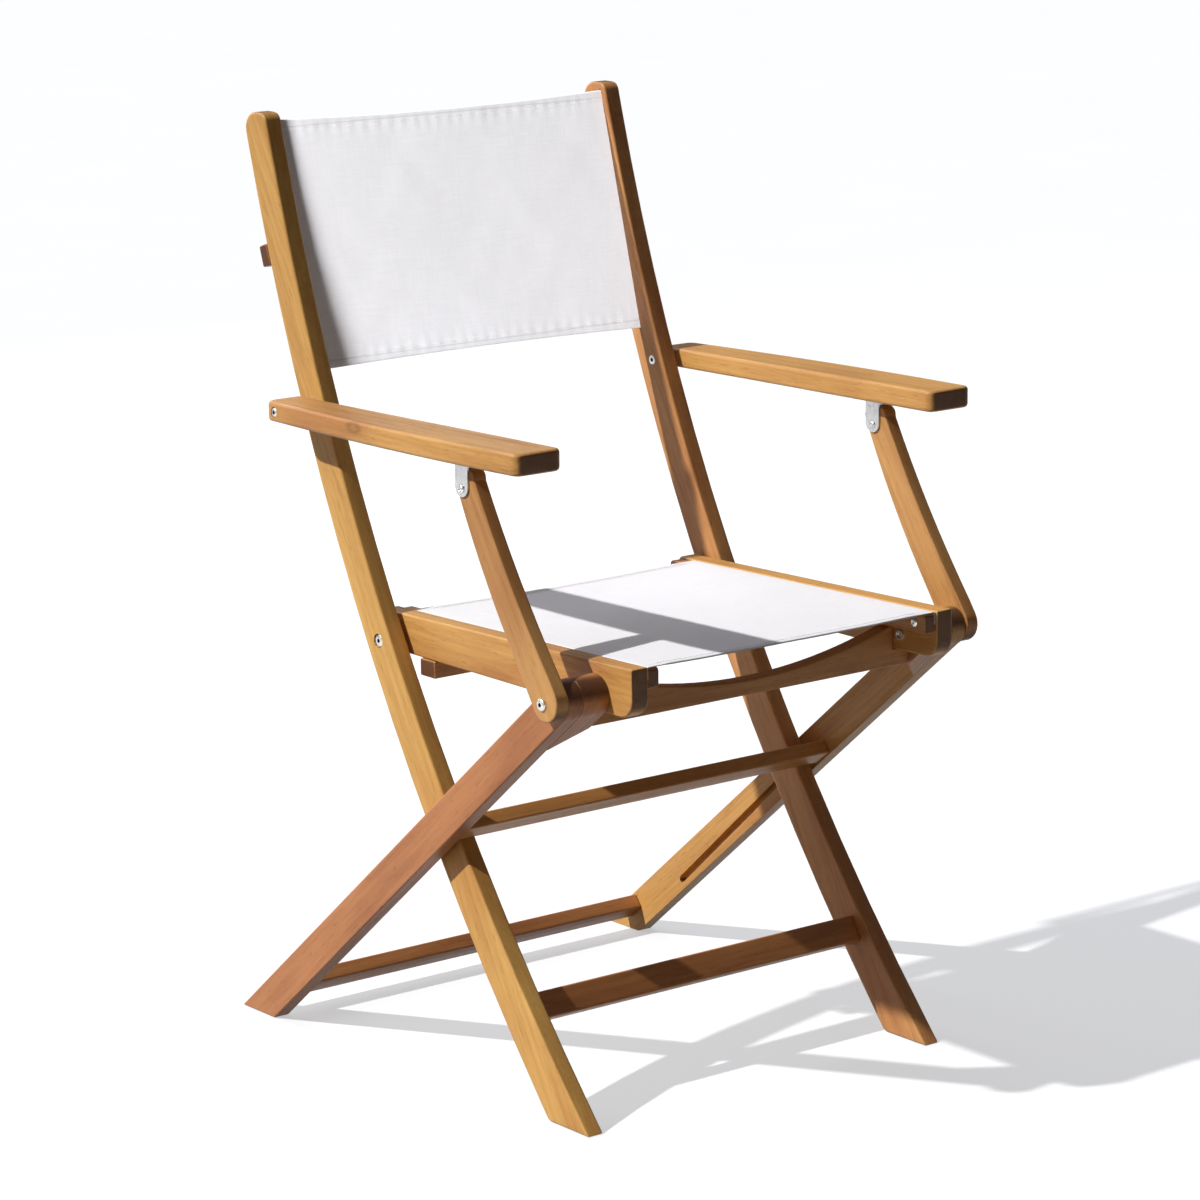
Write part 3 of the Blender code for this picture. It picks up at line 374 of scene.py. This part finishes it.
# ----------------------------------------------------------------------------
# Cloth
# ----------------------------------------------------------------------------
def weave(name, turn, base=(0.81, 0.82, 0.86), pitch=0.0011, seed=0.0, through=0.0, hem_shade_band=None):
    """Plain weave; turn brings the cloth's plane onto X and Y.

    hem_shade_band is (direction, middle, half): beyond half from the middle the cloth lies double and is painted
    a little darker, painted shade of the double layer; a darker line along the stitches is painted shade in the
    seam's crease."""
    k = Tree("cloth_" + name)
    obj, _ = k.coords()
    p = k.vec('ADD', k.turn(obj, euler=turn), (seed, seed * 0.5, 0.0))
    wobble = k.node("ShaderNodeTexNoise")
    wobble.inputs["Scale"].default_value = 55.0
    wobble.inputs["Detail"].default_value = 2.0
    k.link(p, wobble.inputs["Vector"])
    drift = k.vec('MULTIPLY', k.vec('SUBTRACT', wobble.outputs["Color"], (0.5, 0.5, 0.5)),
                  (0.0009, 0.0009, 0.0))
    q = k.vec('ADD', p, drift)
    sep = k.node("ShaderNodeSeparateXYZ")
    k.link(q, sep.inputs[0])
    w = 2 * math.pi / (2 * pitch)
    u = k.math('SINE', k.math('MULTIPLY', sep.outputs["X"], w))
    v = k.math('SINE', k.math('MULTIPLY', sep.outputs["Y"], w))
    over = k.math('MULTIPLY', u, v)                       # which yarn lies on top
    round_u = k.math('ABSOLUTE', u)
    round_v = k.math('ABSOLUTE', v)
    yarn = k.math('MULTIPLY', k.math('ADD', round_u, round_v), 0.5)
    slub_u = k.noise(k.vec('MULTIPLY', p, (0.03, 1.0, 1.0)), 1300.0, 2.0, 0.6)
    slub_v = k.noise(k.vec('MULTIPLY', p, (1.0, 0.03, 1.0)), 1300.0, 2.0, 0.6)
    slub = k.math('MULTIPLY', k.math('ADD', slub_u, slub_v), 0.5)
    cloud = k.noise(p, 7.0, 3.0, 0.55)
    gaps = k.span(yarn, 0.16, 0.46)                       # dark pinholes between the yarns
    shade = k.math('ADD', k.span(slub, 0.34, 0.66, -0.05, 0.05), k.span(cloud, 0.3, 0.7, -0.02, 0.02))
    shade = k.math('ADD', shade, k.math('MULTIPLY', over, 0.018))
    level = k.math('ADD', k.span(gaps, 0.0, 1.0, 0.80, 1.0), shade)
    if hem_shade_band is not None:
        direction, middle, half = hem_shade_band
        run = k.math('ABSOLUTE', k.math('SUBTRACT', k.vec('DOT_PRODUCT', obj, tuple(direction)), middle))
        # painted shade: the double hem is painted a little darker
        level = k.math('MULTIPLY', level, k.span(run, half - 0.0006, half + 0.0006, 1.0, 0.972, smooth=True))
        # painted shade: a darker line is painted along the stitches, in the seam's crease
        seam_crease_shade = k.math('ABSOLUTE', k.math('SUBTRACT', run, half + 0.0017))
        level = k.math('MULTIPLY', level, k.span(seam_crease_shade, 0.0003, 0.0010, 0.86, 1.0, smooth=True))
    scale = k.node("ShaderNodeCombineXYZ")
    for i in range(3):
        k.link(level, scale.inputs[i])
    tint = k.vec('MULTIPLY', scale.outputs[0], base)
    k.link(tint, k.shader.inputs["Base Color"])
    k.link(k.span(slub, 0.3, 0.7, 0.78, 0.92), k.shader.inputs["Roughness"])
    k.shader.inputs["Specular IOR Level"].default_value = 0.22
    k.shader.inputs["Sheen Weight"].default_value = 0.18
    k.shader.inputs["Sheen Roughness"].default_value = 0.5
    if through:
        k.shader.inputs["Subsurface Weight"].default_value = through
        k.shader.inputs["Subsurface Radius"].default_value = (1.0, 1.0, 1.0)
        k.shader.inputs["Subsurface Scale"].default_value = 0.006
    height = k.math('ADD', k.math('MULTIPLY', yarn, 0.7), k.math('MULTIPLY', over, 0.25))
    height = k.math('ADD', height, k.math('MULTIPLY', slub, 0.35))
    k.link(k.bump(height, 0.35, 0.00022), k.shader.inputs["Normal"])
    return k.mat


def thread_material():
    k = Tree("stitch_thread")
    obj, _ = k.coords()
    twist = k.noise(k.vec('MULTIPLY', obj, (1.0, 0.4, 1.0)), 2600.0, 2.0, 0.6)
    k.link(k.mix(k.span(twist, 0.3, 0.7), (0.86, 0.85, 0.83), (0.66, 0.65, 0.64)),
           k.shader.inputs["Base Color"])
    k.link(k.span(twist, 0.3, 0.7, 0.5, 0.7), k.shader.inputs["Roughness"])
    k.link(k.bump(twist, 0.4, 0.0001), k.shader.inputs["Normal"])
    return k.mat


def smooth_step(a, b, x):
    t = max(0.0, min(1.0, (x - a) / (b - a)))
    return t * t * (3 - 2 * t)


def ripple(u, v, seed):
    """Small deterministic unevenness of stretched cloth, about -1 to 1."""
    total = 0.0
    for k in range(5):
        a, b = 9.0 + 7.3 * k, 5.0 + 4.1 * ((k * 3) % 5)
        total += math.sin(a * u + 1.7 * k + seed) * math.cos(b * v + 0.9 * k * seed) / (1.0 + 0.6 * k)
    return total / 2.2


# half thickness and face relief against distance from a free (hemmed) edge, metres
HEM = ((0.0, 0.00022), (0.0003, 0.00070), (0.0009, 0.00098), (0.0020, 0.00108), (0.0040, 0.00110),
       (0.0062, 0.00106), (0.0072, 0.00078), (0.0080, 0.00070), (0.0088, 0.00080), (0.0098, 0.00096),
       (0.0106, 0.00084), (0.0114, 0.00052), (0.0124, 0.00046), (0.0150, 0.00045))
STITCH_AT = 0.0080


def hem_half(d):
    for (a, x), (b, y) in zip(HEM, HEM[1:]):
        if d <= b:
            return x + (y - x) * (d - a) / (b - a)
    return HEM[-1][1]


def hem_levels(length, inner):
    """Positions along the cloth between its two hemmed edges, dense in the hems."""
    edge = [d for d, _ in HEM] + [0.019, 0.025]
    a, b = edge[-1], length - edge[-1]
    middle = [a + (b - a) * i / inner for i in range(1, inner)]
    return edge + middle + [length - d for d in reversed(edge)]


def closed_sheet(name, point, us, vs, half):
    """Closed cloth: point(u, v) gives (middle, normal); half(u, v) half the thickness."""
    verts, faces = [], []
    for side in (1.0, -1.0):
        for u in us:
            for v in vs:
                mid, nor = point(u, v)
                verts.append(mid + nor * (half(u, v) * side))
    nu, nv = len(us), len(vs)
    size = nu * nv

    def idx(s, i, j):
        return s * size + i * nv + j

    for i in range(nu - 1):
        for j in range(nv - 1):
            faces.append((idx(0, i, j), idx(0, i + 1, j), idx(0, i + 1, j + 1), idx(0, i, j + 1)))
            faces.append((idx(1, i, j), idx(1, i, j + 1), idx(1, i + 1, j + 1), idx(1, i + 1, j)))
    for i in range(nu - 1):
        faces.append((idx(0, i, 0), idx(1, i, 0), idx(1, i + 1, 0), idx(0, i + 1, 0)))
        faces.append((idx(0, i, nv - 1), idx(0, i + 1, nv - 1), idx(1, i + 1, nv - 1), idx(1, i, nv - 1)))
    for j in range(nv - 1):
        faces.append((idx(0, 0, j), idx(0, 0, j + 1), idx(1, 0, j + 1), idx(1, 0, j)))
        faces.append((idx(0, nu - 1, j), idx(1, nu - 1, j), idx(1, nu - 1, j + 1), idx(0, nu - 1, j + 1)))
    mesh = bpy.data.meshes.new(name)
    mesh.from_pydata([tuple(v) for v in verts], [], faces)
    mesh.update()
    bm = bmesh.new()
    bm.from_mesh(mesh)
    bmesh.ops.recalc_face_normals(bm, faces=bm.faces)
    bm.to_mesh(mesh)
    bm.free()
    mesh.polygons.foreach_set("use_smooth", [True] * len(mesh.polygons))
    obj = bpy.data.objects.new(name, mesh)
    scene.collection.objects.link(obj)
    return obj


def stitches(name, lines, material):
    """Rows of sewn stitches; each line is a list of (start, end, outward) stitches."""
    bm = bmesh.new()
    for ends in lines:
        for a, b, out in ends:
            axis = (b - a)
            length = axis.length
            along = axis.normalized()
            side = along.cross(out).normalized()
            r = 0.00026
            rings = []
            for t, rise, fat in ((0.0, -0.00035, 0.55), (0.14, 0.00006, 0.95), (0.5, 0.00016, 1.0),
                                 (0.86, 0.00006, 0.95), (1.0, -0.00035, 0.55)):
                c = a + axis * t + out * rise
                ring = [bm.verts.new(c + (side * math.cos(q) + out * math.sin(q)) * r * fat)
                        for q in (i * math.pi / 3 for i in range(6))]
                rings.append(ring)
            for p, q in zip(rings, rings[1:]):
                for i in range(6):
                    bm.faces.new((p[i], p[(i + 1) % 6], q[(i + 1) % 6], q[i]))
            bm.faces.new(list(reversed(rings[0])))
            bm.faces.new(rings[-1])
    bmesh.ops.recalc_face_normals(bm, faces=bm.faces)
    mesh = bpy.data.meshes.new(name)
    bm.to_mesh(mesh)
    bm.free()
    mesh.polygons.foreach_set("use_smooth", [True] * len(mesh.polygons))
    mesh.materials.append(material)
    obj = bpy.data.objects.new(name, mesh)
    scene.collection.objects.link(obj)
    return obj


def stitch_row(point, half, u0, u1, v, side, step=0.0034, length=0.0026):
    """Stitches from u0 to u1 at v(u) on one face of the cloth."""
    out = []
    count = int((u1 - u0) / step)
    for i in range(count):
        a, b = u0 + i * step, u0 + i * step + length
        (pa, na), (pb, nb) = point(a, v), point(b, v)
        pa = pa + na * side * (half(a, v) + 0.00010)
        pb = pb + nb * side * (half(b, v) + 0.00010)
        out.append((pa, pb, ((na + nb) * side).normalized()))
    return out


thread = thread_material()

# --- back cloth: u across, v up the slope -----------------------------------
back_dir = (BACK_TOP - BACK_LOW)
BACK_LEN = back_dir.length
back_dir.normalize()
back_face = Vector((0.0, -back_dir.z, back_dir.y))          # towards the sitter
BACK_HALF = POST_IN + 0.0046
TOP_DIP, LOW_RISE, BELLY = 0.0042, 0.0030, 0.0030


def back_point(u, v):
    s = max(-1.0, min(1.0, u / POST_IN))
    bow = 1 - s * s
    t = v / BACK_LEN
    low, high = LOW_RISE * bow, BACK_LEN - TOP_DIP * bow
    place = BACK_LOW + back_dir * (low + (high - low) * t) + Vector((u, 0.0, 0.0))
    free = 1 - smooth_step(0.90, 1.0, abs(s))
    depth = -BELLY * bow * (0.55 + 0.45 * math.sin(math.pi * t))
    depth += 0.00030 * ripple(u * 4.0, v * 5.0, 1.0) * free
    near_edge = min(v, BACK_LEN - v)
    depth += 0.00022 * math.sin(u * 430.0 + 1.2 * math.sin(u * 37.0)) * math.exp(-((near_edge - 0.010) / 0.007) ** 2) * free
    return place + back_face * depth, back_face


def back_half(u, v):
    tight = 1 - smooth_step(POST_IN - 0.006, POST_IN - 0.0005, abs(u))
    full = hem_half(min(v, BACK_LEN - v))
    return full * tight + min(full, 0.00085) * (1 - tight)


us = [-BACK_HALF, -POST_IN - 0.001, -POST_IN + 0.0005, -POST_IN + 0.003, -POST_IN + 0.006]
us = us + [-POST_IN + 0.010 + (2 * POST_IN - 0.020) * i / 96 for i in range(97)] + [-u for u in reversed(us)]
back = closed_sheet("back_cloth", back_point, us, hem_levels(BACK_LEN, 26), back_half)
back.data.materials.append(weave("back", (-math.atan2(back_dir.z, back_dir.y), 0.0, 0.0), seed=0.2,
                                 hem_shade_band=(back_dir, back_dir.dot((BACK_TOP + BACK_LOW) / 2),
                                       BACK_LEN / 2 - 0.0097)))
rows = []
for v in (STITCH_AT, BACK_LEN - STITCH_AT):
    for side in (1.0, -1.0):
        rows.append(stitch_row(back_point, back_half, -POST_IN + 0.0008, POST_IN - 0.0008, v, side))
back_thread = stitches("back_cloth_stitches", rows, thread)

# --- seat cloth: u along the section, v from front to rear -------------------
SEAT_SAG, SEAT_HALF_T = 0.0016, 0.00045
BATTEN_IN_X, WRAP_X = 0.1609, 0.1744
BEND_R = 0.0011
under = GAP
mid_z = under + HEM[-1][1]
flat_half = WRAP_X - 0.0006 - BEND_R                         # straight part of the top
bend_len = BEND_R * math.pi / 2
TUCK = 0.0105
SEAT_HALF_U = flat_half + bend_len + TUCK
SEAT_LEN = (SEAT_REAR_Y - SEAT_FRONT_Y) / math.cos(math.atan(SEAT_SLOPE))
seat_dir = Vector((0.0, 1.0, SEAT_SLOPE)).normalized()
seat_up = Vector((0.0, -SEAT_SLOPE, 1.0)).normalized()


def seat_point(u, v):
    a, sign = abs(u), math.copysign(1.0, u) if u else 1.0
    y = SEAT_FRONT_Y + (SEAT_REAR_Y - SEAT_FRONT_Y) * v / SEAT_LEN
    base_z = BATTEN_TOP_Z + SEAT_SLOPE * (y - BATTEN_FRONT_Y)
    if a <= flat_half:
        x, h, nx, nz = a, mid_z, 0.0, 1.0
        span = max(0.0, 1 - (a / (BATTEN_IN_X - 0.002)) ** 2) if a < BATTEN_IN_X - 0.002 else 0.0
        h -= SEAT_SAG * span
        h += 0.00025 * ripple(u * 4.0, v * 4.5, 2.0) * min(1.0, span * 4)
        near_edge = min(v, SEAT_LEN - v)
        h += 0.00016 * math.sin(u * 410.0) * math.exp(-((near_edge - 0.010) / 0.007) ** 2) * min(1.0, span * 4)
        slide = 0.0016 * span
        y += slide * (1 - 2 * v / SEAT_LEN)                  # free edges draw in a little
    elif a <= flat_half + bend_len:
        q = (a - flat_half) / BEND_R
        x, h = flat_half + BEND_R * math.sin(q), mid_z - BEND_R * (1 - math.cos(q))
        nx, nz = math.sin(q), math.cos(q)
    else:
        x, h = flat_half + BEND_R, mid_z - BEND_R - (a - flat_half - bend_len)
        nx, nz = 1.0, 0.0
    place = Vector((sign * x, y, base_z)) + seat_up * h
    return place, (Vector((sign * nx, 0.0, 0.0)) + seat_up * nz).normalized()


def seat_half(u, v):
    hem = hem_half(min(v, SEAT_LEN - v))
    a = abs(u)
    on_top = 1 - smooth_step(BATTEN_IN_X - 0.012, BATTEN_IN_X - 0.003, a)
    return SEAT_HALF_T + (hem - SEAT_HALF_T) * on_top


def seat_point_level(u, v):
    """Passes seat_point's point on unchanged."""
    return seat_point(u, v)


us = [-SEAT_HALF_U + TUCK * i / 4 for i in range(5)]
us += [-(flat_half + bend_len) + bend_len * i / 5 for i in range(1, 6)]
us += [-flat_half + 0.004, -flat_half + 0.008, -BATTEN_IN_X + 0.003, -BATTEN_IN_X + 0.008, -BATTEN_IN_X + 0.012]
edge_u = us[-1]
us = us + [edge_u + (-2 * edge_u) * i / 88 for i in range(1, 88)] + [-u for u in reversed(us)]
seat = closed_sheet("seat_cloth", seat_point_level, us, hem_levels(SEAT_LEN, 34), seat_half)
seat.data.materials.append(weave("seat", (-math.atan(SEAT_SLOPE), 0.0, 0.0), seed=0.7,
                                 base=(0.81, 0.82, 0.88),
                                 hem_shade_band=(seat_dir, seat_dir.dot(Vector((0.0, (SEAT_FRONT_Y + SEAT_REAR_Y) / 2, BATTEN_TOP_Z
                                       + SEAT_SLOPE * ((SEAT_FRONT_Y + SEAT_REAR_Y) / 2 - BATTEN_FRONT_Y)))),
                                       SEAT_LEN / 2 - 0.0097)))
rows = []
for v in (STITCH_AT, SEAT_LEN - STITCH_AT):
    for side in (1.0, -1.0):
        rows.append(stitch_row(seat_point, seat_half, -BATTEN_IN_X + 0.004, BATTEN_IN_X - 0.004, v, side))
seat_thread = stitches("seat_cloth_stitches", rows, thread)

for piece, thread_piece, body, node in ((back, back_thread, "back_frame", "back_sling"),
                                        (seat, seat_thread, "seat", "seat_sling")):
    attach(piece, body)
    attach(thread_piece, body)
    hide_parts(node)

# ----------------------------------------------------------------------------
# Floor, light, camera
# ----------------------------------------------------------------------------
floor_mesh = bpy.data.meshes.new("floor")
floor_mesh.from_pydata([(-14, -14, 0), (14, -14, 0), (14, 14, 0), (-14, 14, 0)], [], [(0, 1, 2, 3)])
floor = bpy.data.objects.new("floor", floor_mesh)
floor.location = (0.0, 0.0, -0.0002)
floor.visible_diffuse = False                # the studio's bounce comes from the fill lights
scene.collection.objects.link(floor)
k = Tree("floor_paint")
obj, _ = k.coords()
dust = k.noise(obj, 3.0, 4.0, 0.6)
k.link(k.mix(k.span(dust, 0.3, 0.7), (0.485, 0.50, 0.53), (0.475, 0.49, 0.52)),
       k.shader.inputs["Base Color"])
k.shader.inputs["Roughness"].default_value = 0.9
k.shader.inputs["Specular IOR Level"].default_value = 0.1
k.shader.inputs["Emission Color"].default_value = (0.98, 0.99, 1.0, 1.0)
k.shader.inputs["Emission Strength"].default_value = 0.49
floor.data.materials.append(k.mat)

world = bpy.data.worlds.new("studio")
scene.world = world
world.use_nodes = True
wt = world.node_tree
sky_dir = wt.nodes.new("ShaderNodeTexCoord")
split = wt.nodes.new("ShaderNodeSeparateXYZ")
level = wt.nodes.new("ShaderNodeMapRange")
tones = wt.nodes.new("ShaderNodeMix")
tones.data_type = 'RGBA'
wt.links.new(sky_dir.outputs["Generated"], split.inputs[0])
wt.links.new(split.outputs["Z"], level.inputs["Value"])
level.inputs["From Min"].default_value = -0.10
level.inputs["From Max"].default_value = 0.75
depth_of = wt.nodes.new("ShaderNodeMath")
depth_of.operation = 'MULTIPLY_ADD'
wt.links.new(split.outputs["Z"], depth_of.inputs[0])
depth_of.inputs[1].default_value = 0.60
wt.links.new(split.outputs["Y"], depth_of.inputs[2])
power = wt.nodes.new("ShaderNodeMapRange")
wt.links.new(depth_of.outputs[0], power.inputs["Value"])
for socket, value in (("From Min", -0.60), ("From Max", 1.00), ("To Min", 0.02), ("To Max", 0.335)):
    power.inputs[socket].default_value = value
wt.links.new(power.outputs["Result"], wt.nodes["Background"].inputs["Strength"])
wt.links.new(level.outputs["Result"], tones.inputs["Factor"])
low_tone, high_tone = [n for n in tones.inputs if n.type == 'RGBA']
low_tone.default_value = (0.80, 0.56, 0.38, 1.0)
high_tone.default_value = (0.92, 0.93, 1.0, 1.0)
wt.links.new([n for n in tones.outputs if n.type == 'RGBA'][0], wt.nodes["Background"].inputs["Color"])


def area(name, place, target, size, power, colour=(1.0, 1.0, 1.0)):
    data = bpy.data.lights.new(name, 'AREA')
    data.shape = 'SQUARE'
    data.size = size
    data.energy = power
    data.color = colour
    lamp = bpy.data.objects.new(name, data)
    scene.collection.objects.link(lamp)
    lamp.location = place
    aim = Vector(target) - Vector(place)
    lamp.rotation_euler = aim.to_track_quat('-Z', 'Y').to_euler()
    return lamp


KEY_DIR = Vector((-1.047, 0.361, 1.0)).normalized()
key_data = bpy.data.lights.new("key", 'SUN')
key_data.energy = 4.05
key_data.angle = math.radians(1.1)
key_data.color = (1.0, 0.975, 0.93)
key = bpy.data.objects.new("key", key_data)
scene.collection.objects.link(key)
key.rotation_euler = (-KEY_DIR).to_track_quat('-Z', 'Y').to_euler()
area("back_light", (0.2, 3.4, 1.9), (0.0, 0.2, 0.75), 2.6, 60.0, (0.97, 0.98, 1.0))
cloth_light = area("cloth_light", (-4.6, -1.66, 1.6), (0.0, 0.2, 0.77), 1.3, 545.0, (1.0, 0.99, 0.985))
lit = bpy.data.collections.new("lit_by_cloth_light")
lit.objects.link(back)
lit.objects.link(back_thread)
cloth_light.light_linking.receiver_collection = lit
# warm light that comes back from the floor in front of the chair
bounce = area("floor_bounce", (-0.15, -1.0, 0.03), (0.0, -0.35, 0.55), 1.3, 2.2, (1.0, 0.88, 0.74))
bounce.visible_camera = False
side_bounce = area("floor_bounce_side", (-0.80, 0.0, 0.02), (0.25, 0.0, 0.45), 1.0, 1.2, (1.0, 0.86, 0.72))
side_bounce.visible_camera = False

# camera solved from the photograph's edges
AZ, EL, ROLL = math.radians(-37.974), math.radians(11.347), math.radians(-0.479)
back_axis = Vector((math.sin(AZ) * math.cos(EL), -math.cos(AZ) * math.cos(EL), math.sin(EL)))
right = Vector((math.cos(AZ), math.sin(AZ), 0.0))
up = back_axis.cross(right)
right, up = right * math.cos(ROLL) + up * math.sin(ROLL), up * math.cos(ROLL) - right * math.sin(ROLL)
cam_data = bpy.data.cameras.new("camera")
cam_data.sensor_width = 36.0
cam_data.lens = 133.31
cam_data.shift_x = 0.0043
cam_data.shift_y = -0.0843
cam_data.clip_start, cam_data.clip_end = 0.1, 60.0
cam = bpy.data.objects.new("camera", cam_data)
cam.matrix_world = Matrix(((right.x, up.x, back_axis.x, -2.5939),
                           (right.y, up.y, back_axis.y, -3.0625 - Y_SHIFT),
                           (right.z, up.z, back_axis.z, 1.3753),
                           (0.0, 0.0, 0.0, 1.0)))
scene.collection.objects.link(cam)
scene.camera = cam
scene.view_settings.view_transform = 'Standard'

bpy.context.view_layer.update()
